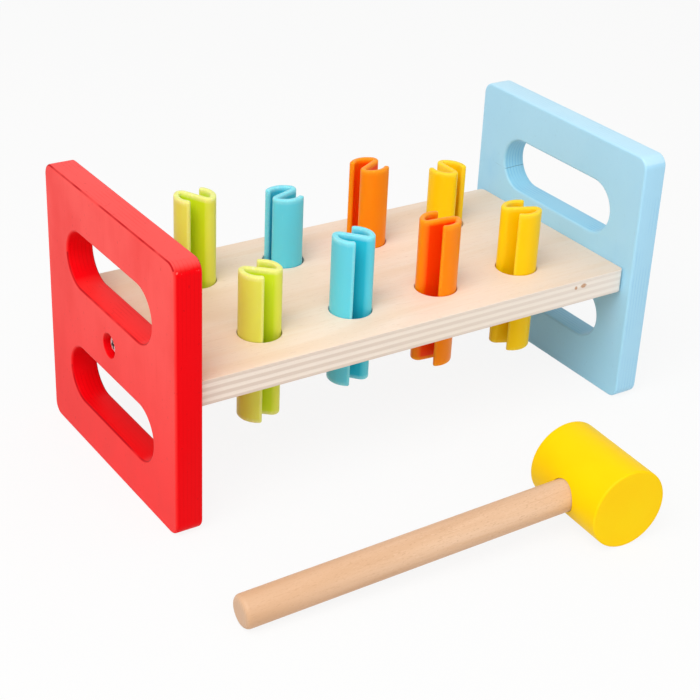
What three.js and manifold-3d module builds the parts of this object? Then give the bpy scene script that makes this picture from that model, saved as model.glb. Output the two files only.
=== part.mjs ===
// Pounding bench: a plywood board with sprung plastic pegs between two painted end panels,
// and the mallet that lies in front of it. Millimetres, +Z up, everything stands on Z = 0.
// X runs from the red end to the blue end, and the mallet lies on the -Y side.
import * as THREE from 'three';
import { mergeVertices } from 'three/addons/utils/BufferGeometryUtils.js';
import Module from 'manifold-3d';

const wasm = await Module();
wasm.setup();

// End panels
const panelHeight = 120;
const panelWidth = 116.4;
const panelThickness = 12;
const panelCornerRadius = 5.5;
const panelEdgeRound = 1.5;

// Hand slots, one above and one below the board
const slotLength = 77;
const slotHeight = 25;
const slotFromMiddle = 26.8;

// Board
const boardLength = 218.2;
const boardWidth = 106;
const boardThickness = 11.2;
const glueGap = 0.2;

// Pegs, one moulding used eight times
const pegDiameter = 18.2;
const pegWall = 2.5;
const pegLength = 67.5;
const pegArcSpan = 112;
const pegFoldInnerRadius = 0.7;
const pegEndRound = 1;
const pegBevelHeight = 1;
const pegBevelWidth = 0.45;
const pegClearance = 0.3;
const pegPitch = 44.5;
const pegRowSpacing = 55.6;

// How far each peg stands up from the board's middle
const greenFrontRaise = 1;
const blueFrontRaise = 6.5;
const orangeFrontRaise = 4.5;
const yellowFrontRaise = 1;
const greenBackRaise = 12;
const blueBackRaise = 4.3;
const orangeBackRaise = 9.6;
const yellowBackRaise = 0.2;

// One screw through each panel into the board's end
const screwHeadDiameter = 7.6;
const screwHeadHeight = 2.4;
const screwCrownHeight = 0.9;
const screwDiameter = 4;
const screwLength = 40;
const screwTipLength = 5;
const screwClearance = 0.3;
const crossLength = 4.4;
const crossWidth = 1;
const crossDepth = 1.5;
const counterboreRoom = 1.6;
const counterboreDepth = 4.8;

// Two dowels between each panel and the board
const dowelDiameter = 6;
const dowelLength = 24;
const dowelInPanel = 8;
const dowelFromEdge = 11.5;
const dowelChamfer = 0.8;
const dowelClearance = 0.2;
const dowelEndGap = 0.4;

// Mallet
const headDiameter = 35;
const headLength = 43.5;
const headEdgeRound = 1.4;
const handleDiameter = 13.8;
const handleLength = 169;
const handleEndRound = 1.6;
const handleTipChamfer = 0.8;
const socketDepth = 24;
const socketClearance = 0.25;
const socketEndGap = 0.3;
const malletAheadOfPanels = 71.2;
const malletTowardsBlue = 34.3;
const malletTurn = 176.7;

// Sides of the round pieces, and of each arc in an outline
const holeSides = 32;
const headSides = 48;
const handleSides = 32;
const smallSides = 16;
const roundSteps = 3;
const panelArcSteps = 6;
const panelEdgeSteps = 2;
const pegArcSteps = 3;
const pegBevelSteps = 1;

// Places that follow from the sizes
const middleHeight = panelHeight / 2;
const innerFace = boardLength / 2 + glueGap;
const pegRadius = pegDiameter / 2;
const pegHoleRadius = pegRadius + pegClearance;
const pegFoldRadius = pegFoldInnerRadius + pegWall / 2;
const pegTipRound = Math.min(pegEndRound, pegWall / 2);
const screwHoleRadius = screwDiameter / 2 + screwClearance;
const counterboreRadius = screwHeadDiameter / 2 + counterboreRoom;
const screwSeat = panelThickness - counterboreDepth + screwClearance;
const dowelHoleRadius = dowelDiameter / 2 + dowelClearance;
const dowelRow = boardWidth / 2 - dowelFromEdge;
const headRadius = headDiameter / 2;
const handleRadius = handleDiameter / 2;
const socketFloor = headRadius - socketDepth;
const handleReach = socketFloor + socketEndGap + handleLength;
const handleDip = Math.asin((headRadius - handleRadius) / (handleReach - handleEndRound));
const columnPlaces = [-1.5, -0.5, 0.5, 1.5].map((step) => step * pegPitch);
const rowPlaces = { front: -pegRowSpacing / 2, back: pegRowSpacing / 2 };

// Finishes
const finish = (color, roughness, metalness = 0) =>
  new THREE.MeshStandardMaterial({ color, roughness, metalness });
const redPaint = finish(0xe3121d, 0.45);
const bluePaint = finish(0xa9d6ee, 0.45);
const plywood = finish(0xf0d3b4, 0.6);
const beech = finish(0xe3b48c, 0.6);
const yellowPaint = finish(0xf7dc00, 0.45);
const steel = finish(0xb9b9bd, 0.35, 1);
const pegPlastics = {
  green: finish(0xd3d94a, 0.35),
  blue: finish(0x4fc6d8, 0.35),
  orange: finish(0xff7a00, 0.35),
  yellow: finish(0xffc800, 0.35),
};

// How each peg stands: its column from the red end, its row, how far it stands up from the board's
// middle, the turn of its straight bar seen from above, and whether it is upside down.
const pegStands = [
  { colour: 'green', column: 0, row: 'front', raise: greenFrontRaise, turn: -41, flipped: false },
  { colour: 'blue', column: 1, row: 'front', raise: blueFrontRaise, turn: -49, flipped: false },
  { colour: 'orange', column: 2, row: 'front', raise: orangeFrontRaise, turn: -6, flipped: true },
  { colour: 'yellow', column: 3, row: 'front', raise: yellowFrontRaise, turn: -24, flipped: true },
  { colour: 'green', column: 0, row: 'back', raise: greenBackRaise, turn: -64, flipped: false },
  { colour: 'blue', column: 1, row: 'back', raise: blueBackRaise, turn: 20, flipped: false },
  { colour: 'orange', column: 2, row: 'back', raise: orangeBackRaise, turn: 29, flipped: false },
  { colour: 'yellow', column: 3, row: 'back', raise: yellowBackRaise, turn: -91, flipped: true },
];

// A closed geometry as a solid that can be cut
function toSolid(geometry) {
  const bare = geometry.clone();
  bare.deleteAttribute('normal');
  bare.deleteAttribute('uv');
  const merged = mergeVertices(bare);
  const corners = merged.index.array;
  const triangles = [];
  for (let i = 0; i < corners.length; i += 3) {
    const [a, b, c] = corners.slice(i, i + 3);
    if (a !== b && b !== c && c !== a) {
      triangles.push(a, b, c);
    }
  }
  return new wasm.Manifold(new wasm.Mesh({
    numProp: 3,
    vertProperties: merged.attributes.position.array,
    triVerts: Uint32Array.from(triangles),
  }));
}

// One geometry less all the tools given
function cut(geometry, tools) {
  let solid = toSolid(geometry);
  for (const tool of tools) {
    solid = solid.subtract(toSolid(tool));
  }
  const mesh = solid.getMesh();
  const result = new THREE.BufferGeometry();
  result.setAttribute('position', new THREE.BufferAttribute(mesh.vertProperties, 3));
  result.setIndex(new THREE.BufferAttribute(mesh.triVerts, 1));
  result.computeVertexNormals();
  return result;
}

// A named piece with its finish
function piece(name, geometry, material) {
  const mesh = new THREE.Mesh(geometry, material);
  mesh.name = name;
  return mesh;
}

// A round bar along X from one place to another
function barAlongX(radius, fromX, toX, sides, y = 0, z = 0) {
  const bar = new THREE.CylinderGeometry(radius, radius, toX - fromX, sides);
  bar.rotateZ(-Math.PI / 2);
  bar.translate((fromX + toX) / 2, y, z);
  return bar;
}

// A turned piece along X from its profile of [distance along X, radius]
function turnedAlongX(profile, sides) {
  const points = profile.map(([along, radius]) => new THREE.Vector2(radius, along));
  const turned = new THREE.LatheGeometry(points, sides);
  turned.rotateZ(-Math.PI / 2);
  return turned;
}

// Profile points of a quarter round from one angle to another, in degrees
function quarterRound(alongCentre, radiusCentre, round, fromAngle, toAngle) {
  const points = [];
  for (let step = 0; step <= roundSteps; step += 1) {
    const angle = THREE.MathUtils.degToRad(fromAngle + ((toAngle - fromAngle) * step) / roundSteps);
    points.push([alongCentre + round * Math.sin(angle), radiusCentre + round * Math.cos(angle)]);
  }
  return points;
}

// Outline of a panel, with its foot on the X axis of the sketch
function panelOutline() {
  const half = panelWidth / 2;
  const r = panelCornerRadius;
  const shape = new THREE.Shape();
  shape.moveTo(-half + r, 0);
  shape.lineTo(half - r, 0);
  shape.absarc(half - r, r, r, -Math.PI / 2, 0, false);
  shape.lineTo(half, panelHeight - r);
  shape.absarc(half - r, panelHeight - r, r, 0, Math.PI / 2, false);
  shape.lineTo(-half + r, panelHeight);
  shape.absarc(-half + r, panelHeight - r, r, Math.PI / 2, Math.PI, false);
  shape.lineTo(-half, r);
  shape.absarc(-half + r, r, r, Math.PI, 1.5 * Math.PI, false);
  return shape;
}

// Outline of a hand slot with round ends
function slotOutline(centreHeight) {
  const r = slotHeight / 2;
  const reach = slotLength / 2 - r;
  const path = new THREE.Path();
  path.moveTo(-reach, centreHeight - r);
  path.lineTo(reach, centreHeight - r);
  path.absarc(reach, centreHeight, r, -Math.PI / 2, Math.PI / 2, false);
  path.lineTo(-reach, centreHeight + r);
  path.absarc(-reach, centreHeight, r, Math.PI / 2, 1.5 * Math.PI, false);
  return path;
}

// A panel with its inner face on X = 0 and its outer face towards +X
function panelGeometry() {
  const outline = panelOutline();
  outline.holes.push(slotOutline(middleHeight + slotFromMiddle));
  outline.holes.push(slotOutline(middleHeight - slotFromMiddle));
  const slab = new THREE.ExtrudeGeometry(outline, {
    depth: panelThickness - 2 * panelEdgeRound,
    bevelThickness: panelEdgeRound,
    bevelSize: panelEdgeRound,
    bevelOffset: -panelEdgeRound,
    bevelSegments: panelEdgeSteps,
    curveSegments: panelArcSteps,
  });
  slab.translate(0, 0, panelEdgeRound);
  const sketchX = new THREE.Vector3(0, 1, 0);
  const sketchY = new THREE.Vector3(0, 0, 1);
  const sketchNormal = new THREE.Vector3(1, 0, 0);
  slab.applyMatrix4(new THREE.Matrix4().makeBasis(sketchX, sketchY, sketchNormal));
  const past = panelThickness;
  const seatDepth = panelThickness - counterboreDepth;
  const dowelHoleDepth = dowelInPanel + dowelEndGap;
  return cut(slab, [
    barAlongX(screwHoleRadius, -past, 2 * past, smallSides, 0, middleHeight),
    barAlongX(counterboreRadius, seatDepth, 2 * past, holeSides, 0, middleHeight),
    barAlongX(dowelHoleRadius, -past, dowelHoleDepth, smallSides, -dowelRow, middleHeight),
    barAlongX(dowelHoleRadius, -past, dowelHoleDepth, smallSides, dowelRow, middleHeight),
  ]);
}

// The board, lying flat about its own middle
function boardGeometry() {
  const halfLength = boardLength / 2;
  const halfWidth = boardWidth / 2;
  const outline = new THREE.Shape();
  outline.moveTo(-halfLength, -halfWidth);
  outline.lineTo(halfLength, -halfWidth);
  outline.lineTo(halfLength, halfWidth);
  outline.lineTo(-halfLength, halfWidth);
  for (const x of columnPlaces) {
    for (const y of Object.values(rowPlaces)) {
      const hole = new THREE.Path();
      hole.absarc(x, y, pegHoleRadius, 0, 2 * Math.PI, false);
      outline.holes.push(hole);
    }
  }
  const slab = new THREE.ExtrudeGeometry(outline, {
    depth: boardThickness,
    bevelEnabled: false,
    curveSegments: holeSides / 2,
  });
  slab.translate(0, 0, -boardThickness / 2);
  const past = dowelLength;
  const screwHoleEnd = innerFace + screwSeat - screwLength - screwClearance;
  const dowelHoleEnd = innerFace + dowelInPanel - dowelLength - dowelEndGap;
  const endHoles = [];
  for (const side of [-1, 1]) {
    const turn = side > 0 ? 0 : Math.PI;
    endHoles.push(barAlongX(screwHoleRadius, screwHoleEnd, halfLength + past, smallSides).rotateZ(turn));
    for (const row of [-dowelRow, dowelRow]) {
      const hole = barAlongX(dowelHoleRadius, dowelHoleEnd, halfLength + past, smallSides, row);
      endHoles.push(hole.rotateZ(turn));
    }
  }
  return cut(slab, endHoles);
}

// Outline of the folded strip: a straight bar across the middle, a tight fold at each end of it,
// and from each fold an arc round the outside that ends short of the other fold.
function stripOutline() {
  const half = pegWall / 2;
  const inner = pegRadius - pegWall;
  const foldOut = pegFoldRadius + half;
  const foldIn = pegFoldRadius - half;
  const foldX = -Math.sqrt((pegRadius - half - pegFoldRadius) ** 2 - pegFoldRadius ** 2);
  const foldY = -pegFoldRadius;
  const foldAngle = Math.atan2(foldY, foldX) + 2 * Math.PI;
  const endAngle = Math.PI + THREE.MathUtils.degToRad(pegArcSpan);
  const at = (radius, angle) => [radius * Math.cos(angle), radius * Math.sin(angle)];
  const shape = new THREE.Shape();

  // One side of the strip from one free end to the other: the second half is the first turned half round
  for (const turn of [0, Math.PI]) {
    const side = turn === 0 ? 1 : -1;
    const tip = endAngle + turn;
    const start = at(pegRadius - pegTipRound, tip);
    if (turn === 0) {
      shape.moveTo(...start);
    } else {
      shape.lineTo(...start);
    }
    const outerStart = tip - pegTipRound / pegRadius;
    shape.quadraticCurveTo(...at(pegRadius, tip), ...at(pegRadius, outerStart));
    shape.absarc(0, 0, pegRadius, outerStart, foldAngle + turn, true);
    shape.absarc(side * foldX, side * foldY, foldOut, foldAngle + turn, Math.PI / 2 + turn, true);
    shape.lineTo(-side * foldX, side * half);
    const farFold = foldAngle + Math.PI + turn;
    const farTip = endAngle + Math.PI + turn;
    shape.absarc(-side * foldX, -side * foldY, foldIn, 1.5 * Math.PI + turn, farFold, false);
    shape.absarc(0, 0, inner, farFold, farTip - pegTipRound / inner, false);
    shape.quadraticCurveTo(...at(inner, farTip), ...at(inner + pegTipRound, farTip));
  }
  return shape;
}

// A peg standing about its own middle, with softened rims
function pegGeometry() {
  const strip = new THREE.ExtrudeGeometry(stripOutline(), {
    depth: pegLength - 2 * pegBevelHeight,
    bevelThickness: pegBevelHeight,
    bevelSize: pegBevelWidth,
    bevelOffset: -pegBevelWidth,
    bevelSegments: pegBevelSteps,
    curveSegments: pegArcSteps,
  });
  strip.translate(0, 0, pegBevelHeight - pegLength / 2);
  return strip;
}

// A screw along X, with its head's underside on X = 0 and its point towards -X
function screwGeometry() {
  const shank = screwDiameter / 2;
  const rim = screwHeadDiameter / 2;
  const side = screwHeadHeight - screwCrownHeight;
  const crown = [];
  for (let step = 0; step < roundSteps; step += 1) {
    const angle = (Math.PI / 2) * (step / roundSteps);
    crown.push([side + screwCrownHeight * Math.sin(angle), rim * Math.cos(angle)]);
  }
  const body = turnedAlongX([
    [-screwLength, 0],
    [-screwLength + screwTipLength, shank],
    [0, shank],
    [0, rim],
    ...crown,
    [screwHeadHeight, 0],
  ], smallSides);
  const arms = [];
  for (const turn of [0, Math.PI / 2]) {
    const arm = new THREE.BoxGeometry(2 * crossDepth, crossLength, crossWidth);
    arm.rotateX(turn);
    arm.translate(screwHeadHeight, 0, 0);
    arms.push(arm);
  }
  return cut(body, arms);
}

// A dowel along X from X = 0, with chamfered ends
function dowelGeometry() {
  const radius = dowelDiameter / 2;
  return turnedAlongX([
    [0, 0],
    [0, radius - dowelChamfer],
    [dowelChamfer, radius],
    [dowelLength - dowelChamfer, radius],
    [dowelLength, radius - dowelChamfer],
    [dowelLength, 0],
  ], smallSides);
}

// The mallet's head about its own middle, its axis along Y and its socket open towards +X
function headGeometry() {
  const end = headLength / 2;
  const flat = end - headEdgeRound;
  const rim = headRadius - headEdgeRound;
  const body = turnedAlongX([
    [-end, 0],
    ...quarterRound(-flat, rim, headEdgeRound, -90, 0),
    ...quarterRound(flat, rim, headEdgeRound, 0, 90),
    [end, 0],
  ], headSides);
  body.rotateZ(Math.PI / 2);
  const socket = barAlongX(handleRadius + socketClearance, socketFloor, headDiameter, handleSides);
  return cut(body, [socket]);
}

// The handle along X, in the place that it has in the head
function handleGeometry() {
  const start = socketFloor + socketEndGap;
  return turnedAlongX([
    [start, 0],
    [start, handleRadius - handleTipChamfer],
    [start + handleTipChamfer, handleRadius],
    ...quarterRound(handleReach - handleEndRound, handleRadius - handleEndRound, handleEndRound, 0, 90),
    [handleReach, 0],
  ], handleSides);
}

// The bench: board, panels, fastenings and pegs
function makeBench() {
  const bench = new THREE.Group();
  const board = piece('bench_board', boardGeometry(), plywood);
  board.position.z = middleHeight;
  bench.add(board);

  const ends = [
    { name: 'red', paint: redPaint, turn: Math.PI },
    { name: 'blue', paint: bluePaint, turn: 0 },
  ];
  for (const { name, paint, turn } of ends) {
    const end = new THREE.Group();
    end.rotation.z = turn;
    end.add(piece(`${name}_end_panel`, panelGeometry().translate(innerFace, 0, 0), paint));
    const screw = piece(`${name}_end_screw`, screwGeometry(), steel);
    screw.position.set(innerFace + screwSeat, 0, middleHeight);
    end.add(screw);
    const towardsFront = turn === 0 ? -1 : 1;
    for (const [place, side] of [['front', towardsFront], ['back', -towardsFront]]) {
      const dowel = piece(`${name}_end_dowel_${place}`, dowelGeometry(), beech);
      dowel.position.set(innerFace + dowelInPanel - dowelLength, side * dowelRow, middleHeight);
      end.add(dowel);
    }
    bench.add(end);
  }

  for (const { colour, column, row, raise, turn, flipped } of pegStands) {
    const peg = piece(`${colour}_peg_${row}`, pegGeometry(), pegPlastics[colour]);
    peg.position.set(columnPlaces[column], rowPlaces[row], middleHeight + raise);
    const upsideDown = flipped ? Math.PI : 0;
    peg.rotation.set(upsideDown, 0, THREE.MathUtils.degToRad(turn), 'ZYX');
    bench.add(peg);
  }
  return bench;
}

// The mallet, its head and the end of its handle resting on the floor
function makeMallet() {
  const mallet = new THREE.Group();
  mallet.add(piece('mallet_head', headGeometry(), yellowPaint));
  mallet.add(piece('mallet_handle', handleGeometry(), beech));
  mallet.position.set(malletTowardsBlue, -panelWidth / 2 - malletAheadOfPanels, headRadius);
  mallet.rotation.set(0, handleDip, THREE.MathUtils.degToRad(malletTurn), 'ZYX');
  return mallet;
}

// The whole set, with the origin under the middle of the floor that it takes
const poundingBench = new THREE.Group();
poundingBench.add(makeBench());
poundingBench.add(makeMallet());
poundingBench.updateMatrixWorld(true);
const room = new THREE.Box3().setFromObject(poundingBench, true);
const roomMiddle = room.getCenter(new THREE.Vector3());
poundingBench.position.set(-roomMiddle.x, -roomMiddle.y, 0);

export default poundingBench;
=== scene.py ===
import math
import bmesh
import bpy
from mathutils import Euler, Matrix, Vector


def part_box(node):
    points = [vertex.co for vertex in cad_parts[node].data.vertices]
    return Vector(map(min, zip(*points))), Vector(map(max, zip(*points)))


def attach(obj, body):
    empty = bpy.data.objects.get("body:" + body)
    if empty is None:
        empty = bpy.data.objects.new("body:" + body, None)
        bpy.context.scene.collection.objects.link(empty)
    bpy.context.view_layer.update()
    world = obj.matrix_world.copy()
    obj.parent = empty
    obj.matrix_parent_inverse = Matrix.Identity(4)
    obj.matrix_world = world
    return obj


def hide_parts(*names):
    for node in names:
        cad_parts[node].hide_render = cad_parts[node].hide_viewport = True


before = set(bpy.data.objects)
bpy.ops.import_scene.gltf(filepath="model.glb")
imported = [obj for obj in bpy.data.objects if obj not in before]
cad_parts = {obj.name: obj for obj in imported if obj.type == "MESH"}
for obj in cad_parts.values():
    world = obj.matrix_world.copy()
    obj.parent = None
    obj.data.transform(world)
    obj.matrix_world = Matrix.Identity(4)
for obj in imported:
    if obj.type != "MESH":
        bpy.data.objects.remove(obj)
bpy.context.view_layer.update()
scene = bpy.context.scene
mm = 0.001  # the frame is in metres, sizes below are written in millimetres
print("frame loaded:", len(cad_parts), "nodes")


# small helpers for shader trees

def hexTone(code):
    channels = [int(code[i:i + 2], 16) / 255 for i in (0, 2, 4)]
    linear = [c / 12.92 if c <= 0.04045 else ((c + 0.055) / 1.055) ** 2.4 for c in channels]
    return (*linear, 1.0)


def put(tree, kind, values=None, **choices):
    # a new node; a socket among its values is linked and a colour code becomes a colour
    made = tree.nodes.new(kind)
    for key, value in choices.items():
        setattr(made, key, value)
    for key, value in (values or {}).items():
        if isinstance(value, bpy.types.NodeSocket):
            tree.links.new(value, made.inputs[key])
        else:
            made.inputs[key].default_value = hexTone(value) if isinstance(value, str) else value
    return made


def calc(tree, job, *values):
    return put(tree, "ShaderNodeMath", dict(enumerate(values)), operation=job).outputs[0]


def times(tree, first, second):
    return calc(tree, "MULTIPLY", first, second)


def opposite(tree, share):
    return calc(tree, "SUBTRACT", 1.0, share)


def axes(tree, vector):
    return put(tree, "ShaderNodeSeparateXYZ", {0: vector}).outputs


def mixTone(tree, share, first, second, way="MIX"):
    values = {0: share, 6: first, 7: second}
    return put(tree, "ShaderNodeMix", values, data_type="RGBA", blend_type=way).outputs[2]


def stain(tree, tone, mask, share, code):
    # lays a colour over a tone, by a share of the mask
    return mixTone(tree, times(tree, mask, share), tone, code)


def rise(tree, value, low, high, way="SMOOTHSTEP", top=1.0):
    values = {"Value": value, "From Min": low, "From Max": high, "To Max": top}
    return put(tree, "ShaderNodeMapRange", values, interpolation_type=way).outputs[0]


def ramp(tree, value, stops):
    made = put(tree, "ShaderNodeValToRGB", {"Fac": value})
    points = made.color_ramp.elements
    while len(points) < len(stops):
        points.new(1.0)
    for point, (place, code) in zip(points, stops):
        point.position = place
        point.color = hexTone(code)
    return made.outputs[0]


def streaks(tree, place, look):
    # noise, which is finer along an axis that has a larger stretch
    laid = put(tree, "ShaderNodeMapping", {"Vector": place, "Scale": look["stretch"]})
    return put(tree, "ShaderNodeTexNoise", {
        "Vector": laid.outputs[0],
        "Scale": 1.0,
        "Detail": look.get("detail", 3.0),
        "Roughness": look.get("rough", 0.5),
        "Distortion": look.get("twist", 0.0),
    }).outputs[0]


def speckle(tree, place, look):
    # a mask that goes from 0 to 1 where the noise rises between its two levels
    return rise(tree, streaks(tree, place, look), *look["levels"])


def marked(tree, name):
    return put(tree, "ShaderNodeAttribute", attribute_name=name).outputs["Fac"]


def objectPlace(tree):
    return put(tree, "ShaderNodeTexCoord").outputs["Object"]


def placeAlong(tree, matrix):
    # object coordinates in the matrix's own axes
    return put(tree, "ShaderNodeMapping", {
        "Vector": objectPlace(tree),
        "Location": matrix.to_translation(),
        "Rotation": matrix.to_euler(),
    }, vector_type="TEXTURE").outputs[0]


def newFinish(name, constants):
    finish = bpy.data.materials.new(name)
    finish.use_nodes = True
    tree = finish.node_tree
    shader = tree.nodes["Principled BSDF"]
    for key, value in constants.items():
        shader.inputs[key].default_value = value
    return finish, tree, shader


def dress(tree, shader, tone, noise, height, look):
    # the noise varies the roughness, and the height becomes a bump
    bump = {"Height": height, "Strength": look["bump"], "Distance": look["bumpDepth"] * mm}
    links = {
        "Base Color": tone,
        "Roughness": calc(tree, "MULTIPLY_ADD", noise, look["roughSpread"], look["roughBase"]),
        "Normal": put(tree, "ShaderNodeBump", bump).outputs[0],
    }
    for key, value in links.items():
        tree.links.new(value, shader.inputs[key])


# small helpers for meshes

weldReach = 0.0005


def softShade(mesh, angle=38):
    mesh.shade_smooth()
    mesh.set_sharp_from_angle(angle=math.radians(angle))


def addPiece(name, mesh, body, node, finish=None):
    if finish:
        mesh.materials.clear()
        mesh.materials.append(finish)
    piece = bpy.data.objects.new(name, mesh)
    scene.collection.objects.link(piece)
    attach(piece, body)
    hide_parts(node)
    return piece


def toMesh(bm, name):
    bmesh.ops.recalc_face_normals(bm, faces=bm.faces)
    mesh = bpy.data.meshes.new(name)
    bm.to_mesh(mesh)
    bm.free()
    softShade(mesh)
    return mesh


def bridge(bm, lower, upper):
    for k in range(len(lower)):
        n = (k + 1) % len(lower)
        bm.faces.new((lower[k], lower[n], upper[n], upper[k]))


def fillBetween(bm, rims):
    edges = [bm.edges.get((rim[k - 1], rim[k])) for rim in rims for k in range(len(rim))]
    bmesh.ops.triangle_fill(bm, edges=edges, use_beauty=True)


def circlePoints(middle, radius, sides):
    def points(inset):
        reach = radius + inset
        turns = [2 * math.pi * k / sides for k in range(sides)]
        return [(middle[0] + reach * math.cos(a), middle[1] + reach * math.sin(a)) for a in turns]
    return points


def arcPoints(middle, radius, start, end, steps):
    turns = [start + (end - start) * k / steps for k in range(steps + 1)]
    return [(middle[0] + radius * math.cos(a), middle[1] + radius * math.sin(a)) for a in turns]


def roundRectPoints(halfWide, halfTall, radius, steps):
    # an outline, so its inset shrinks it
    def points(inset):
        made = []
        corners = [(1, -1, -90), (1, 1, 0), (-1, 1, 90), (-1, -1, 180)]
        for sideU, sideV, start in corners:
            centre = (sideU * (halfWide - radius), sideV * (halfTall - radius))
            a = math.radians(start)
            made += arcPoints(centre, radius - inset, a, a + math.pi / 2, steps)
        return made
    return points


def slotPoints(middle, halfLong, radius, steps):
    # an opening with round ends, so its inset widens it
    def points(inset):
        made = []
        for side in (1, -1):
            centre = (middle[0] + side * (halfLong - radius), middle[1])
            a = -side * math.pi / 2
            made += arcPoints(centre, radius + inset, a, a + math.pi, steps)
        return made
    return points


def arris(radius, steps):
    # inset, level, wear and edge shares from a flat face over its rounded arris
    made = []
    for k in range(steps + 1):
        a = math.pi / 2 * k / steps
        made.append((radius * (1 - math.sin(a)), radius * (1 - math.cos(a)), math.sin(2 * a), k / steps))
    return made


def throughProfile(thickness, radius, steps, support, sides=()):
    low = [(radius + support, 0.0, 0.0, 0.0)] + arris(radius, steps)
    high = [(inset, thickness - level, wear, edge) for inset, level, wear, edge in reversed(low)]
    return low + list(sides) + high


def slabMesh(name, loops, place):
    # each loop is an outline or an opening: a ring for each step of its profile
    bm = bmesh.new()
    wearMark = bm.verts.layers.float.new("wear")
    edgeMark = bm.verts.layers.float.new("edge")
    hollowMark = bm.verts.layers.float.new("hollow")
    lowRims, highRims = [], []
    for loop in loops:
        rings = []
        for inset, level, wear, edge in loop["profile"]:
            outline = loop["points"](inset)
            ring = [bm.verts.new(place(u, v, level)) for u, v in outline]
            for corner, (u, v) in zip(ring, outline):
                corner[wearMark] = wear * loop["arrisLineAt"](u, v) if "arrisLineAt" in loop else wear
                corner[edgeMark] = edge
                # marks the slots and the bore, where shade is painted
                corner[hollowMark] = edge * loop.get("hollow", 0.0)
            if rings:
                bridge(bm, rings[-1], ring)
            rings.append(ring)
        lowRims.append(rings[0])
        if loop.get("blind"):
            bm.faces.new(rings[-1])
        else:
            highRims.append(rings[-1])
    fillBetween(bm, lowRims)
    fillBetween(bm, highRims)
    return toMesh(bm, name)


def turnedMesh(name, profile, sides, matrix):
    # a lathe along local X from steps of distance, radius and wear
    bm = bmesh.new()
    wearMark = bm.verts.layers.float.new("wear")
    rings = []
    for along, radius, wear in profile:
        outline = circlePoints((0.0, 0.0), radius, sides)(0.0)
        ring = [bm.verts.new(matrix @ Vector((along, y, z))) for y, z in outline]
        for corner in ring:
            corner[wearMark] = wear
        if rings:
            bridge(bm, rings[-1], ring)
        rings.append(ring)
    bm.faces.new(rings[0])
    bm.faces.new(rings[-1])
    return toMesh(bm, name)


def settled(holder, name):
    # one plain mesh from an object and its modifiers, which is used up
    graph = bpy.context.evaluated_depsgraph_get()
    made = bpy.data.meshes.new_from_object(holder.evaluated_get(graph))
    bpy.data.objects.remove(holder)
    made.name = name
    return made


def cutBy(mesh, cutters):
    # the mesh less the cutters, which are used up
    whole = bpy.data.objects.new("whole", mesh)
    scene.collection.objects.link(whole)
    tools = [bpy.data.objects.new("cutter", cutter) for cutter in cutters]
    for tool in tools:
        scene.collection.objects.link(tool)
        change = whole.modifiers.new("cut", "BOOLEAN")
        change.operation = "DIFFERENCE"
        change.solver = "EXACT"
        change.object = tool
    made = settled(whole, mesh.name)
    for tool in tools:
        bpy.data.objects.remove(tool)
    bm = bmesh.new()
    bm.from_mesh(made)
    bmesh.ops.remove_doubles(bm, verts=bm.verts, dist=weldReach * mm)
    bm.to_mesh(made)
    bm.free()
    softShade(made)
    return made


# small helpers for geometry nodes

def newTree(name, inputs):
    tree = bpy.data.node_groups.new(name, "GeometryNodeTree")
    tree.interface.new_socket("Geometry", in_out="OUTPUT", socket_type="NodeSocketGeometry")
    ids = {}
    for label, kind in inputs.items():
        socket = tree.interface.new_socket(label, in_out="INPUT", socket_type="NodeSocket" + kind)
        ids[label] = socket.identifier
    return tree, put(tree, "NodeGroupInput").outputs, ids


def endTree(tree, shape, finish):
    real = put(tree, "GeometryNodeRealizeInstances", {"Geometry": shape})
    dressed = put(tree, "GeometryNodeSetMaterial", {"Geometry": real.outputs[0], "Material": finish})
    put(tree, "NodeGroupOutput", {"Geometry": dressed.outputs[0]})


def growMesh(name, tree, ids, values):
    # a mesh from a tree, whose inputs are set before it is first evaluated
    holder = bpy.data.objects.new(name, bpy.data.meshes.new(name))
    growth = holder.modifiers.new("growth", "NODES")
    growth.node_group = tree
    for label, value in values.items():
        growth[ids[label]] = value
    scene.collection.objects.link(holder)
    made = settled(holder, name)
    finish = made.materials[-1]
    made.materials.clear()  # primitives bring an empty slot
    made.materials.append(finish)
    bm = bmesh.new()
    bm.from_mesh(made)
    for face in bm.faces:
        face.material_index = 0
    bmesh.ops.recalc_face_normals(bm, faces=bm.faces)
    bm.to_mesh(made)
    bm.free()
    softShade(made)
    return made


# where the bench stands

boardLow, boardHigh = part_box("bench_board")
benchMiddle = (boardLow + boardHigh) / 2


# camera, solved from the straight edges of the photograph

photoCamera = {
    "azimuth": -34.27,  # degrees, 0 looks along +Y
    "elevation": 28.21,
    "roll": 2.755,
    "target": (4.62, 10.38, 20.77),  # from the floor under the bench's middle
    "distance": 753.49,
    "lens": 83.90,
    "sensor": 36.0,
}


def makeCamera(look):
    azimuth, elevation, roll = (math.radians(look[key]) for key in ("azimuth", "elevation", "roll"))
    flat = math.cos(elevation)
    back = Vector((math.sin(azimuth) * flat, -math.cos(azimuth) * flat, math.sin(elevation)))
    level = Vector((math.cos(azimuth), math.sin(azimuth), 0.0))
    upright = back.cross(level)
    right = level * math.cos(roll) + upright * math.sin(roll)
    up = upright * math.cos(roll) - level * math.sin(roll)
    aim = Vector((benchMiddle.x, benchMiddle.y, 0.0)) + Vector(look["target"]) * mm
    data = bpy.data.cameras.new("photoCamera")
    data.lens = look["lens"]
    data.sensor_width = look["sensor"]
    camera = bpy.data.objects.new("photoCamera", data)
    scene.collection.objects.link(camera)
    turned = Matrix((right, up, back)).transposed().to_4x4()
    camera.matrix_world = Matrix.Translation(aim + back * look["distance"] * mm) @ turned
    scene.camera = camera


makeCamera(photoCamera)
print("camera set")


# light and floor

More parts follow.
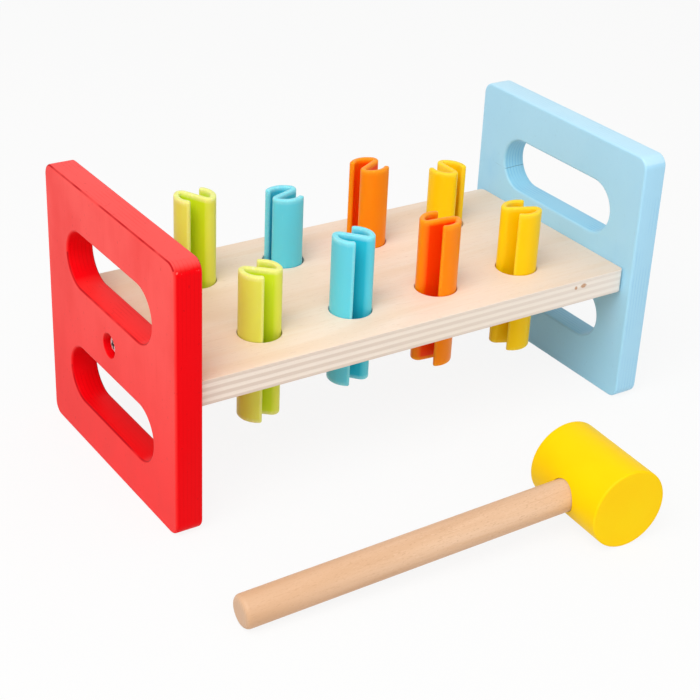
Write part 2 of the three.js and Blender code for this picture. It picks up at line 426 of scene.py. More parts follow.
studio = {
    "skyLevel": 0.58,  # what the sky gives to matt surfaces
    "floorTone": "e4e4e2",
    "floorGlow": 0.88,  # share of plain white in the floor as it is seen
    "floorReach": 9.0,  # metres
    "floorSides": 96,
    "floorDrop": 0.02,
    "lamps": [  # places from the bench's middle and sizes, in metres
        {"name": "keyLamp", "place": (-0.65, -0.40, 0.95), "size": 1.0, "watts": 10.0},
        {"name": "frontLamp", "place": (0.1, -1.2, 0.6), "size": 0.9, "watts": 2.0},
    ],
}


def seenDirectly(tree):
    # 1 for rays that show the background, also in gloss and through clear things
    path = put(tree, "ShaderNodeLightPath").outputs
    gloss = calc(tree, "ADD", path["Is Glossy Ray"], path["Is Transmission Ray"])
    return calc(tree, "MINIMUM", calc(tree, "ADD", path["Is Camera Ray"], gloss), 1.0)


def makeStudio(look):
    world = bpy.data.worlds.new("studioSky")
    world.use_nodes = True
    tree = world.node_tree
    tree.nodes.clear()
    soft = put(tree, "ShaderNodeBackground", {"Color": "ffffff", "Strength": look["skyLevel"]})
    white = put(tree, "ShaderNodeBackground", {"Color": "ffffff", "Strength": 1.0})
    seen = seenDirectly(tree)
    both = put(tree, "ShaderNodeMixShader", {0: seen, 1: soft.outputs[0], 2: white.outputs[0]})
    put(tree, "ShaderNodeOutputWorld", {"Surface": both.outputs[0]})
    scene.world = world

    paper = bpy.data.materials.new("floorPaper")
    paper.use_nodes = True
    tree = paper.node_tree
    tree.nodes.clear()
    matt = put(tree, "ShaderNodeBsdfDiffuse", {"Color": look["floorTone"]})
    glow = put(tree, "ShaderNodeEmission", {"Color": "ffffff", "Strength": 1.0})
    share = times(tree, seenDirectly(tree), look["floorGlow"])
    both = put(tree, "ShaderNodeMixShader", {0: share, 1: matt.outputs[0], 2: glow.outputs[0]})
    put(tree, "ShaderNodeOutputMaterial", {"Surface": both.outputs[0]})
    bm = bmesh.new()
    lower = Matrix.Translation((0, 0, -look["floorDrop"] * mm))
    reach, sides = look["floorReach"], look["floorSides"]
    bmesh.ops.create_circle(bm, cap_ends=True, radius=reach, segments=sides, matrix=lower)
    mesh = bpy.data.meshes.new("studioFloor")
    bm.to_mesh(mesh)
    bm.free()
    mesh.materials.append(paper)
    floor = bpy.data.objects.new("studioFloor", mesh)
    scene.collection.objects.link(floor)

    for lamp in look["lamps"]:
        data = bpy.data.lights.new(lamp["name"], "AREA")
        data.shape = "DISK"
        data.size = lamp["size"]
        data.energy = lamp["watts"]
        made = bpy.data.objects.new(lamp["name"], data)
        place = benchMiddle + Vector(lamp["place"])
        turn = (benchMiddle - place).to_track_quat("-Z", "Y")
        made.matrix_world = Matrix.Translation(place) @ turn.to_matrix().to_4x4()
        scene.collection.objects.link(made)


makeStudio(studio)
scene.view_settings.view_transform = "Standard"
print("studio lit")


# finishes

birchLook = {
    "pale": "f8e6d4",
    "warm": "f3dac0",
    "blush": "f6dfcb",
    "deep": "edcfae",
    "figure": {"stretch": (7, 62, 62), "detail": 4.0, "rough": 0.55, "twist": 0.7},
    "figureStops": [(0.28, "deep"), (0.42, "warm"), (0.52, "pale"), (0.64, "blush"), (0.78, "warm")],
    "toneAndShadeDrift": ["f9e0c2", "f7e0ca", "f3dcc7", "d8c1ac"],  # from the red end to the blue end, the last stop darker as painted shade
    "driftSlant": -0.4,
    "driftShare": 0.55,
    "fibre": {"stretch": (26, 1500, 1500), "rough": 0.6, "levels": (0.48, 0.78), "share": 0.30},
    "fibreHeight": 0.6,
    "pores": {"stretch": (240, 4200, 4200), "detail": 1.0, "levels": (0.66, 0.76), "share": 0.35},
    "poreTone": "c09a74",
    "plies": 7,
    "plyBlend": 0.022,  # share of the thickness
    "plyWave": {"stretch": (45, 45, 45), "detail": 2.0},
    "plyWander": 0.25,
    "edgeLight": "f2e5d8",
    "edgeDark": "dfcdbe",
    "edgeLine": "cdb7a4",
    "edgeFibre": {"stretch": (60, 60, 2600), "rough": 0.6, "levels": (0.5, 0.8), "share": 0.35},
    "edgeDots": {"stretch": (1500, 1500, 2600), "detail": 2.0, "levels": (0.58, 0.72), "share": 0.22},
    "edgeFade": "fffaf4",  # towards the blue end
    "edgeFadeShare": 0.45,
    # along X, above the middle, half length and half height
    "knots": [(81.4, 2.3, 0.9, 1.1), (85.8, 2.6, 1.9, 1.2)],
    "knotRim": {"stretch": (1300, 1300, 1300), "detail": 2.0, "levels": (1.0, 1.7), "wander": 1.4},
    "knotTone": "c08a5e",
    "knotShare": 0.85,
    "shine": 0.32,
    "roughBase": 0.48,
    "roughSpread": 0.18,
    "bump": 0.12,
    "bumpDepth": 0.12,
}


def knotMask(tree, place, apart, knot):
    alongX, above, halfLong, halfTall = knot
    rim = birchLook["knotRim"]
    offX = calc(tree, "SUBTRACT", apart["X"], benchMiddle.x + alongX * mm)
    offZ = calc(tree, "SUBTRACT", apart["Z"], benchMiddle.z + above * mm)
    offX = calc(tree, "DIVIDE", offX, halfLong * mm)
    offZ = calc(tree, "DIVIDE", offZ, halfTall * mm)
    squares = calc(tree, "ADD", times(tree, offX, offX), times(tree, offZ, offZ))
    ragged = calc(tree, "MULTIPLY_ADD", streaks(tree, place, rim), rim["wander"], squares)
    inFront = calc(tree, "LESS_THAN", apart["Y"], benchMiddle.y)
    return times(tree, opposite(tree, rise(tree, ragged, *rim["levels"])), inFront)


def birchFinish(look):
    finish, tree, shader = newFinish("birchPlywood", {"Specular IOR Level": look["shine"]})
    place = objectPlace(tree)
    apart = axes(tree, place)

    broad = streaks(tree, place, look["figure"])
    face = ramp(tree, broad, [(at, look[key]) for at, key in look["figureStops"]])
    # the tone drifts along the board and darkens towards the blue end as painted shade
    slanted = calc(tree, "MULTIPLY_ADD", apart["Y"], look["driftSlant"], apart["X"])
    along = rise(tree, slanted, boardLow.x, boardHigh.x, "LINEAR")
    gaps = len(look["toneAndShadeDrift"]) - 1
    toneAndShadeDrift = ramp(tree, along, [(k / gaps, code) for k, code in enumerate(look["toneAndShadeDrift"])])
    face = mixTone(tree, look["driftShare"], face, toneAndShadeDrift)
    fibre = streaks(tree, place, look["fibre"])
    drawn = rise(tree, fibre, *look["fibre"]["levels"])
    face = stain(tree, face, drawn, look["fibre"]["share"], look["deep"])
    pores = speckle(tree, place, look["pores"])
    face = stain(tree, face, pores, look["pores"]["share"], look["poreTone"])

    # plies on every cut side, dark and pale by turns
    wave = streaks(tree, place, look["plyWave"])
    level = calc(tree, "MULTIPLY_ADD", wave, look["plyWander"] * mm, apart["Z"])
    level = rise(tree, level, boardLow.z, boardHigh.z, "LINEAR")
    stops = []
    for ply in range(look["plies"]):
        code = look["edgeLight" if ply % 2 else "edgeDark"]
        stops.append((ply / look["plies"] + look["plyBlend"], code))
        stops.append(((ply + 1) / look["plies"] - look["plyBlend"], code))
    edge = ramp(tree, level, stops)
    for layer in (look["edgeFibre"], look["edgeDots"]):
        edge = stain(tree, edge, speckle(tree, place, layer), layer["share"], look["edgeLine"])
    edge = stain(tree, edge, along, look["edgeFadeShare"], look["edgeFade"])
    for knot in look["knots"]:
        mask = knotMask(tree, place, apart, knot)
        edge = stain(tree, edge, mask, look["knotShare"], look["knotTone"])

    tone = mixTone(tree, marked(tree, "edge"), face, edge)
    height = calc(tree, "SUBTRACT", times(tree, fibre, look["fibreHeight"]), pores)
    dress(tree, shader, tone, broad, height, look)
    return finish


paintLook = {
    "red": {
        # the flat faces; on red paler than the side tone, as painted sheen
        "tone": "f9544f",
        # darker towards the bottom, painted shade
        "foot": "f8302f",
        "deep": "ec3634",
        "side": "ee000c",
        # pale top edges, painted sheen
        "crown": "f5524e",
        # the rounded corners under the top, darker as painted shade
        "turn": "e21012",
        "arris": "b0000e",
        "arrisShare": 0.95,
        # the slots and the bore, darker as painted shade
        "hollow": "ea000c",
        "hollowUp": "f84a46",  # floor of the upper slot, paler as painted light
        "pit": "a80612",
        "pitShare": 0.25,
        "paleFleck": "ff7d76",
        "shine": 0.05,
        "haze": 0.05,
        "crack": None,
    },
    "blue": {
        "tone": "acdef6",
        # darker towards the bottom, painted shade
        "foot": "a2daf3",
        "deep": "a6daf3",
        "side": "aadcf6",
        # pale top edges, painted highlight
        "crown": "bee6f8",
        # the rounded corners under the top, pale as painted highlight
        "turn": "bee6f8",
        # a pale line along the arrises, painted highlight
        "arris": "d0effb",
        "arrisShare": 0.12,
        # the slots and the bore, darker as painted shade
        "hollow": "90cee7",
        # floor of the upper slot, paler as painted light
        "hollowUp": "96d0ea",
        "pit": "86b4cb",
        "pitShare": 0.10,
        "paleFleck": None,
        "shine": 0.26,
        "haze": 0.08,
        "crack": {
            "tone": "5d8296",
            "share": 0.7,
            "above": 21.8,  # the bench's middle
            "reach": 45.0,  # behind the bench's middle
            "wander": 1.6,
            "half": (0.06, 0.22),
        },
    },
    "cloud": {"stretch": (38, 38, 22), "rough": 0.55, "levels": (0.35, 0.7), "share": 0.6},
    "grain": {"stretch": (700, 950, 26), "rough": 0.6, "levels": (0.55, 0.8), "share": 0.35},
    "grainHeight": 0.5,
    "crownReach": 3.3,  # how far down the rounded corners the pale top tone goes, a painted sheen
    "crownFlat": 0.4,  # below the top
    "crownRagged": {"stretch": (300, 300, 300)},
    "crownWander": 1.6,
    "crownBlend": (-0.3, 0.5),
    "hollowStops": [(0.50, "hollow"), (0.56, "hollowUp"), (0.635, "hollowUp"), (0.70, "hollow")],
    "hollowShare": 0.85,
    "plies": 7,
    "wave": {"stretch": (60, 60, 60), "detail": 2.0},
    "plyWander": 0.3,
    "lineWidth": 0.16,  # share of a ply
    "lineBreaks": {"stretch": (55, 55, 55), "detail": 2.0, "levels": (0.40, 0.62)},
    "lineShare": 0.4,
    "lineShareInHollow": 0.3,  # added in the slots
    "lineHeight": 0.8,
    "patches": {"stretch": (60, 60, 60), "detail": 2.0, "levels": (0.2, 0.6)},
    "wearLevels": (0.45, 0.95),
    "pits": {"stretch": (900, 900, 520), "detail": 0.0, "levels": (0.76, 0.83)},
    "fleckNoise": {"stretch": (520, 520, 520), "detail": 1.0, "levels": (0.63, 0.70), "share": 0.5},
    "fleckReach": (0.3, 0.9),
    "hazeTint": "fff6ee",
    "hazeRoughness": 0.4,
    "roughBase": 0.35,
    "roughSpread": 0.14,
    "bump": 0.14,
    "bumpDepth": 0.12,
}


def nearZero(tree, value, reach):
    # 1 at zero, and 0 past the reach on both sides
    low, high = reach
    return opposite(tree, rise(tree, calc(tree, "ABSOLUTE", value), low * mm, high * mm))


def plyLines(tree, place, apart, low, high, wave):
    across = calc(tree, "MULTIPLY_ADD", wave, paintLook["plyWander"] * mm, apart["X"])
    across = rise(tree, across, low.x, high.x, "LINEAR", float(paintLook["plies"]))
    near = calc(tree, "PINGPONG", across, 0.5)
    lines = opposite(tree, rise(tree, near, 0.0, paintLook["lineWidth"]))
    return times(tree, lines, speckle(tree, place, paintLook["lineBreaks"]))


def crackMask(tree, apart, wave, crack):
    level = calc(tree, "SUBTRACT", apart["Z"], benchMiddle.z + crack["above"] * mm)
    level = calc(tree, "MULTIPLY_ADD", calc(tree, "SUBTRACT", wave, 0.5), crack["wander"] * mm, level)
    atBack = calc(tree, "GREATER_THAN", apart["Y"], benchMiddle.y)
    inSlot = calc(tree, "LESS_THAN", apart["Y"], benchMiddle.y + crack["reach"] * mm)
    return times(tree, nearZero(tree, level, crack["half"]), times(tree, atBack, inSlot))


def paintFinish(colour, low, high):
    look, shared = paintLook[colour], paintLook
    finish, tree, shader = newFinish(colour + "Paint", {
        "Specular IOR Level": look["shine"],
        "Sheen Weight": look["haze"],
        "Sheen Roughness": shared["hazeRoughness"],
        "Sheen Tint": hexTone(shared["hazeTint"]),
    })
    place = objectPlace(tree)
    apart = axes(tree, place)
    upwards = rise(tree, apart["Z"], low.z, high.z)

    # upright wood grain shows through the paint
    cloud = streaks(tree, place, shared["cloud"])
    grain = streaks(tree, place, shared["grain"])
    # darker towards the foot as painted shade
    tone = mixTone(tree, upwards, look["foot"], look["tone"])
    for noise, layer in ((cloud, shared["cloud"]), (grain, shared["grain"])):
        tone = stain(tree, tone, rise(tree, noise, *layer["levels"]), layer["share"], look["deep"])

    # the cut sides keep the paint's deep tone and are paler on top as painted sheen; on red the rounded
    # turn below is darker as painted shade
    cutSide = marked(tree, "edge")
    crownEnd = high.z - shared["crownReach"] * mm
    ragged = calc(tree, "SUBTRACT", streaks(tree, place, shared["crownRagged"]), 0.5)
    ragged = calc(tree, "MULTIPLY_ADD", ragged, shared["crownWander"] * mm, apart["Z"])
    fromCrown = calc(tree, "SUBTRACT", ragged, crownEnd)
    atTop = rise(tree, fromCrown, *(step * mm for step in shared["crownBlend"]))
    flat = rise(tree, apart["Z"], crownEnd, high.z - shared["crownFlat"] * mm)
    crown = mixTone(tree, flat, look["turn"], look["crown"])
    tone = mixTone(tree, cutSide, tone, mixTone(tree, atTop, look["side"], crown))
    # painted shade in the slots and the bore, with painted light on the floor of the upper slot
    inHollow = marked(tree, "hollow")
    hollow = ramp(tree, upwards, [(at, look[key]) for at, key in shared["hollowStops"]])
    tone = mixTone(tree, times(tree, inHollow, shared["hollowShare"]), tone, hollow)

    # ply lines show on the cut sides, most in the slots
    wave = streaks(tree, place, shared["wave"])
    lines = times(tree, plyLines(tree, place, apart, low, high, wave), cutSide)
    share = calc(tree, "MULTIPLY_ADD", inHollow, shared["lineShareInHollow"], shared["lineShare"])
    tone = mixTone(tree, times(tree, lines, share), tone, look["deep"], "MULTIPLY")

    # the tone changes along the arrises, a dark line on red and a painted highlight on blue, and small
    # pits are left in the paint
    wear = rise(tree, marked(tree, "wear"), *shared["wearLevels"])
    wear = times(tree, wear, speckle(tree, place, shared["patches"]))
    tone = stain(tree, tone, wear, look["arrisShare"], look["arris"])
    pits = speckle(tree, place, shared["pits"])
    tone = stain(tree, tone, pits, look["pitShare"], look["pit"])
    # pale flecks near the top of the cut sides
    if look["paleFleck"]:
        fleckNoise = speckle(tree, place, shared["fleckNoise"])
        paleFlecks = times(tree, nearZero(tree, fromCrown, shared["fleckReach"]), times(tree, fleckNoise, cutSide))
        tone = stain(tree, tone, paleFlecks, shared["fleckNoise"]["share"], look["paleFleck"])

    height = times(tree, grain, shared["grainHeight"])
    height = calc(tree, "SUBTRACT", height, times(tree, lines, shared["lineHeight"]))
    if look["crack"]:
        crack = times(tree, crackMask(tree, apart, wave, look["crack"]), cutSide)
        tone = stain(tree, tone, crack, look["crack"]["share"], look["crack"]["tone"])
        height = calc(tree, "SUBTRACT", height, crack)
    height = calc(tree, "SUBTRACT", height, pits)
    dress(tree, shader, tone, cloud, height, shared)
    return finish


plasticLook = {
    # deep: the tone painted as shade between the folds, which also tints the light inside the plastic
    "green": {"tone": "dee15a", "deep": "cce200", "scuffAndHighlight": "f2f4c0", "slot": "green_plastic"},
    "blue": {"tone": "66d2e4", "deep": "00bcd4", "scuffAndHighlight": "bcf0f4", "slot": "turquoise_plastic"},
    "orange": {"tone": "ff8b04", "deep": "ff2a00", "scuffAndHighlight": "ffac20", "slot": "orange_plastic"},
    "yellow": {"tone": "ffce05", "deep": "ffce00", "scuffAndHighlight": "fbda50", "slot": "yellow_plastic"},
    "cloud": {"stretch": (70, 70, 30), "detail": 2.0},
    "flow": {"stretch": (900, 900, 18), "detail": 2.0},  # faint draw lines along the peg
    "flowHeight": 0.6,
    "scratches": {"stretch": (2400, 2400, 120), "detail": 1.0, "levels": (0.70, 0.80), "share": 0.12},
    "knocks": {"stretch": (650, 650, 650), "levels": (0.50, 0.72), "share": 0.25},
    "knockDepth": 0.6,
    "rimHighlightShare": 0.30,  # how pale a rim is without knocks, a painted highlight
    "foldShadeShare": 0.85,
    "shine": 0.15,
    "glow": 0.5,  # light that goes into the plastic
    "glowReach": 3.5,
    "leastGlow": 0.25,
    "roughBase": 0.28,
    "roughSpread": 0.12,
    "bump": 0.08,
    "bumpDepth": 0.1,
}


def plasticFinish(colour):
    look, shared = plasticLook[colour], plasticLook
    least = shared["leastGlow"]
    finish, tree, shader = newFinish(colour + "Plastic", {
        "Specular IOR Level": shared["shine"],
        "Subsurface Weight": shared["glow"],
        "Subsurface Scale": shared["glowReach"] * mm,
        "Subsurface Radius": [least + (1 - least) * share for share in hexTone(look["deep"])[:3]],
    })
    place = objectPlace(tree)
    cloud = streaks(tree, place, shared["cloud"])
    flow = streaks(tree, place, shared["flow"])
    scratches = times(tree, speckle(tree, place, shared["scratches"]), shared["scratches"]["share"])
    knocks = speckle(tree, place, shared["knocks"])
    end = marked(tree, "wear")
    # the rims and free edges are paler, partly knocks and scratches and partly painted highlight
    pale = calc(tree, "MULTIPLY_ADD", knocks, shared["knocks"]["share"], shared["rimHighlightShare"])
    rubAndHighlight = calc(tree, "ADD", times(tree, end, pale), scratches)
    within = times(tree, marked(tree, "within"), shared["foldShadeShare"])
    tone = mixTone(tree, within, look["tone"], look["deep"])  # painted shade: deeper and more saturated between the folds
    tone = mixTone(tree, rubAndHighlight, tone, look["scuffAndHighlight"])
    rim = times(tree, times(tree, end, knocks), shared["knockDepth"])
    height = calc(tree, "SUBTRACT", times(tree, flow, shared["flowHeight"]), rim)
    dress(tree, shader, tone, cloud, height, shared)
    return finish


beechLook = {
    "pale": "e9c6a8",
    "warm": "ddb592",
    "deep": "c89b74",
    "figure": {"stretch": (9, 110, 110), "rough": 0.55, "twist": 0.5},
    "figureStops": [(0.20, "deep"), (0.50, "warm"), (0.78, "pale")],
    "fibre": {"stretch": (60, 1900, 1900), "rough": 0.6, "levels": (0.5, 0.8), "share": 0.35},
    "fibreHeight": 0.5,
    "flecks": {"stretch": (620, 2900, 2900), "detail": 1.0, "levels": (0.60, 0.70), "share": 0.36},
    "fleckTone": "b58662",
    "glints": {"stretch": (540, 2500, 2500), "detail": 1.0, "levels": (0.60, 0.72), "share": 0.35},
    "freeEndDarkening": "cf9f76",  # darker towards the free end
    "gripReach": 95.0,
    "gripShare": 0.55,
    "end": "d4ae8e",
    "endReach": (0.9, 0.2),
    "rings": {"Scale": 260.0, "Distortion": 2.5, "Detail": 2.0},
    "ringShare": 0.4,
    "shine": 0.38,
    "roughBase": 0.40,
    "roughSpread": 0.16,
    "bump": 0.12,
    "bumpDepth": 0.12,
}


def beechFinish(name, matrix, reach):
    # grain runs along local X of the matrix
    look = beechLook
    finish, tree, shader = newFinish(name, {"Specular IOR Level": look["shine"]})
    place = placeAlong(tree, matrix)
    broad = streaks(tree, place, look["figure"])
    tone = ramp(tree, broad, [(at, look[key]) for at, key in look["figureStops"]])
    fibre = streaks(tree, place, look["fibre"])
    drawn = rise(tree, fibre, *look["fibre"]["levels"])
    tone = stain(tree, tone, drawn, look["fibre"]["share"], look["deep"])
    flecks = speckle(tree, place, look["flecks"])
    tone = stain(tree, tone, flecks, look["flecks"]["share"], look["fleckTone"])
    tone = stain(tree, tone, speckle(tree, place, look["glints"]), look["glints"]["share"], look["pale"])

    along = axes(tree, place)["X"]
    freeEndDarkening = rise(tree, along, reach - look["gripReach"] * mm, reach)
    tone = stain(tree, tone, freeEndDarkening, look["gripShare"], look["freeEndDarkening"])
    ring = put(tree, "ShaderNodeTexWave", {"Vector": place, **look["rings"]},
        wave_type="BANDS", bands_direction="Y").outputs["Fac"]
    endGrain = mixTone(tree, times(tree, ring, look["ringShare"]), look["end"], look["deep"])
    atEnd = rise(tree, along, *(reach - step * mm for step in look["endReach"]))
    tone = mixTone(tree, atEnd, tone, endGrain)
    height = calc(tree, "SUBTRACT", times(tree, fibre, look["fibreHeight"]), flecks)
    dress(tree, shader, tone, broad, height, look)
    return finish


headLook = {
    "tone": "ffd500",
    "deep": "ffd000",
    "cloud": {"stretch": (45, 30, 45), "levels": (0.35, 0.7)},
    "grain": {"stretch": (900, 40, 900), "rough": 0.6},
    "thin": "ffe04a",
    "rubbed": {"stretch": (200, 200, 200), "levels": (0.4, 0.7), "share": 0.12},
    "shine": 0.08,
    "roughBase": 0.38,
    "roughSpread": 0.14,
    "bump": 0.08,
    "bumpDepth": 0.1,
}


def yellowFinish(matrix):
    look = headLook
    finish, tree, shader = newFinish("yellowPaint", {"Specular IOR Level": look["shine"]})
    place = placeAlong(tree, matrix)
    cloud = streaks(tree, place, look["cloud"])
    tone = mixTone(tree, rise(tree, cloud, *look["cloud"]["levels"]), look["tone"], look["deep"])
    wear = times(tree, marked(tree, "wear"), speckle(tree, place, look["rubbed"]))
    tone = stain(tree, tone, wear, look["rubbed"]["share"], look["thin"])
    dress(tree, shader, tone, cloud, streaks(tree, place, look["grain"]), look)
    return finish


steelLook = {
    "brushed": {"stretch": (900, 2600, 2600)},
    "stops": [(0.3, "d2d2d0"), (0.7, "f0f0ee")],
    "recessShade": "4a2a26",  # painted shade in the cross recess
    "recessShadeShare": 0.9,
    "recessShadeMatt": -0.8,  # added to the metal share
    "shine": 0.1,
    "roughBase": 0.34,
    "roughSpread": 0.2,
    "bump": 0.1,
    "bumpDepth": 0.05,
}


def steelFinish(look):
    finish, tree, shader = newFinish("zincSteel", {"Specular IOR Level": look["shine"]})
    brushed = streaks(tree, objectPlace(tree), look["brushed"])
    # painted shade in the cross recess, which is also kept out of the metal
    recessShade = marked(tree, "hollow")
    tone = stain(tree, ramp(tree, brushed, look["stops"]), recessShade, look["recessShadeShare"], look["recessShade"])
    bare = calc(tree, "MULTIPLY_ADD", recessShade, look["recessShadeMatt"], 1.0)
    tree.links.new(bare, shader.inputs["Metallic"])
    dress(tree, shader, tone, brushed, brushed, look)
    return finish


steel = steelFinish(steelLook)


# plywood board with its peg holes

board = {
    "pitch": 44.5,  # peg holes along X
    "rowSpacing": 55.6,
    "holeDiameter": 18.8,
    "holeSides": 72,
    "columns": (-1.5, -0.5, 0.5, 1.5),
    "rows": (-0.5, 0.5),
    "holeArris": 0.175,
    "holeSteps": 2,
    "arris": 0.35,
    "arrisSteps": 3,
    "cornerRound": 2.2,
    "cornerSteps": 8,
    "support": 0.2,  # width of the flat ring beside an arris
    "plySink": 0.03,  # the paler plies stand this far back
    "plySlope": 0.12,
}

fastening = {
    "screwHole": 2.3,  # radii
    "screwReach": 33.0,  # from the board's end
    "dowelHole": 3.2,
    "dowelReach": 16.5,
    "dowelRow": 41.5,
    "seat": 7.2,  # from a panel's inner face to the bottom of its counterbore
    "counterbore": 5.4,
    "dowelInPanel": 8.4,
    "past": 5.0,  # how far a drill starts outside the board
    "sides": 40,
}


def plySteps(thickness):
    made = []
    plies = birchLook["plies"]
    for line in range(1, plies):
        level = thickness * line / plies
        intoPale = line % 2 == 1
        for side in (-1, 1):
            pale = intoPale == (side > 0)
            inset = board["plySink"] * mm if pale else 0.0
            made.append((inset, level + side * board["plySlope"] * mm, 0.0, 1.0))
    return made


def barMesh(radius, start, end, y, z):
    sides = fastening["sides"]
    length = end - start
    matrix = Matrix.Translation((start, y, z))
    return turnedMesh("bar", [(0.0, radius, 0.0), (length, radius, 0.0)], sides, matrix)


def makeBoard():
    size = boardHigh - boardLow
    radius, support = board["arris"] * mm, board["support"] * mm
    outline = roundRectPoints(size.x / 2, size.y / 2, board["cornerRound"] * mm, board["cornerSteps"])
    sides = throughProfile(size.z, radius, board["arrisSteps"], support, plySteps(size.z))
    loops = [{"points": outline, "profile": sides}]
    bore = throughProfile(size.z, board["holeArris"] * mm, board["holeSteps"], support)
    for column in board["columns"]:
        for row in board["rows"]:
            middle = (column * board["pitch"] * mm, row * board["rowSpacing"] * mm)
            points = circlePoints(middle, board["holeDiameter"] / 2 * mm, board["holeSides"])
            loops.append({"points": points, "profile": bore})
    origin = Vector((benchMiddle.x, benchMiddle.y, boardLow.z))
    mesh = slabMesh("benchBoard", loops, lambda u, v, level: origin + Vector((u, v, level)))
    cutters = []
    for side, end in ((-1, boardLow.x), (1, boardHigh.x)):
        holes = [(fastening["screwHole"], fastening["screwReach"], 0.0)]
        for row in (-fastening["dowelRow"], fastening["dowelRow"]):
            holes.append((fastening["dowelHole"], fastening["dowelReach"], row))
        for hole, reach, row in holes:
            start, stop = sorted((end - side * reach * mm, end + side * fastening["past"] * mm))
            cutters.append(barMesh(hole * mm, start, stop, benchMiddle.y + row * mm, benchMiddle.z))
    mesh = cutBy(mesh, cutters)
    addPiece("benchBoard", mesh, "bench", "bench_board", birchFinish(birchLook))


makeBoard()
print("board made")


# painted end panels

panel = {
    "cornerRadius": 5.5,
    "edgeRound": 1.0,
    "edgeSteps": 5,
    "slotLength": 77.0,
    "slotHeight": 25.0,
    "slotFromMiddle": 26.8,
    "slotSteps": 36,
    "boreRound": 0.3,
    "boreSteps": 3,
    "sideArrisLine": 0.45,
    "slotArrisLine": 1.0,  # on the lower half of a slot
    "support": 0.5,
    "cornerSteps": 12,
}


def makePanel(colour, side):
    node = colour + "_end_panel"
    low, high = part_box(node)
    size = high - low
    radius, support, steps = panel["edgeRound"] * mm, panel["support"] * mm, panel["edgeSteps"]
    outline = roundRectPoints(size.y / 2, size.z / 2, panel["cornerRadius"] * mm, panel["cornerSteps"])
    topBand = size.z / 2 - panel["cornerRadius"] * mm / 2
    loops = [{
        "points": outline,
        "profile": throughProfile(size.x, radius, steps, support),
        "arrisLineAt": lambda u, v: 1.0 if v > topBand else panel["sideArrisLine"],
    }]
    tall = panel["slotHeight"] / 2 * mm
    for way in (-1, 1):
        middle = (0.0, way * panel["slotFromMiddle"] * mm)
        points = slotPoints(middle, panel["slotLength"] / 2 * mm, tall, panel["slotSteps"])
        loops.append({
            "points": points,
            "profile": throughProfile(size.x, radius, steps, support),
            "arrisLineAt": lambda u, v, level=middle[1]: panel["slotArrisLine"] if v < level else panel["sideArrisLine"],
            # the slot takes painted shade
            "hollow": 1.0,
        })

    # stepped hole for the screw, then the blind dowel holes in the inner face
    hole, bore, seat = (fastening[key] * mm for key in ("screwHole", "counterbore", "seat"))
    wider = bore - hole
    stepped = [(0.0, 0.0, 0.0, 0.0), (0.0, seat, 0.0, 1.0), (wider, seat, 0.0, 1.0)]
    rim = arris(panel["boreRound"] * mm, panel["boreSteps"])
    lip = [(wider + inset, size.x - level, 0.0, edge) for inset, level, _, edge in rim]
    stepped += list(reversed(lip)) + [(lip[0][0] + support, size.x, 0.0, 0.0)]
    points = circlePoints((0.0, 0.0), hole, fastening["sides"])
    # the bore takes painted shade
    loops.append({"points": points, "profile": stepped, "hollow": 1.0})
    depth = fastening["dowelInPanel"] * mm
    blind = [(0.0, 0.0, 0.0, 1.0), (0.0, depth, 0.0, 1.0)]
    for way in (-1, 1):
        middle = (way * fastening["dowelRow"] * mm, 0.0)
        points = circlePoints(middle, fastening["dowelHole"] * mm, fastening["sides"])
        loops.append({"points": points, "profile": blind, "blind": True})

    innerFace = low.x if side > 0 else high.x
    middle = (low + high) / 2
    mesh = slabMesh(colour + "EndPanel", loops, lambda u, v, level: Vector(
        (innerFace + side * level, middle.y + u, middle.z + v)))
    addPiece(colour + "EndPanel", mesh, "bench", node, paintFinish(colour, low, high))


for colour, side in (("red", -1), ("blue", 1)):
    makePanel(colour, side)
print("end panels made")


# folded strip pegs, one moulding stood in eight holes

peg = {
    "radius": 9.1,
    "wall": 2.5,
    "length": 67.5,
    "arcSpan": 112.0,
    "foldInside": 0.7,
    "tipRound": 1.0,
    "leastTipRound": 0.1,
    # how pale the free edges are, a painted highlight
    "tipHighlight": 0.7,
    "tipShade": 0.4,  # how deep the tone is at the free edge, inside
    "foldShade": 3.4,  # how late the tone deepens round a fold
    "rimRound": 0.85,
    "rimSteps": 5,
    "rimFade": 1.5,
    "steps": {"tip": 4, "outer": 26, "fold": 16, "inner": 12, "back": 22},
    "stands": {  # turn of the straight bar in degrees, and whether it is upside down
        "green_peg_front": (-41, False),
        "blue_peg_front": (-49, False),
        "orange_peg_front": (-6, True),
        "yellow_peg_front": (-24, True),
        "green_peg_back": (-64, False),
        "blue_peg_back": (20, False),
        "orange_peg_back": (29, False),
        "yellow_peg_back": (-91, True),
    },
}


def bendPoints(first, corner, last, steps):
    made = []
    for k in range(steps + 1):
        t = k / steps
        shares = ((1 - t) ** 2, 2 * t * (1 - t), t ** 2)
        made.append(tuple(sum(s * p[i] for s, p in zip(shares, (first, corner, last))) for i in (0, 1)))
    return made


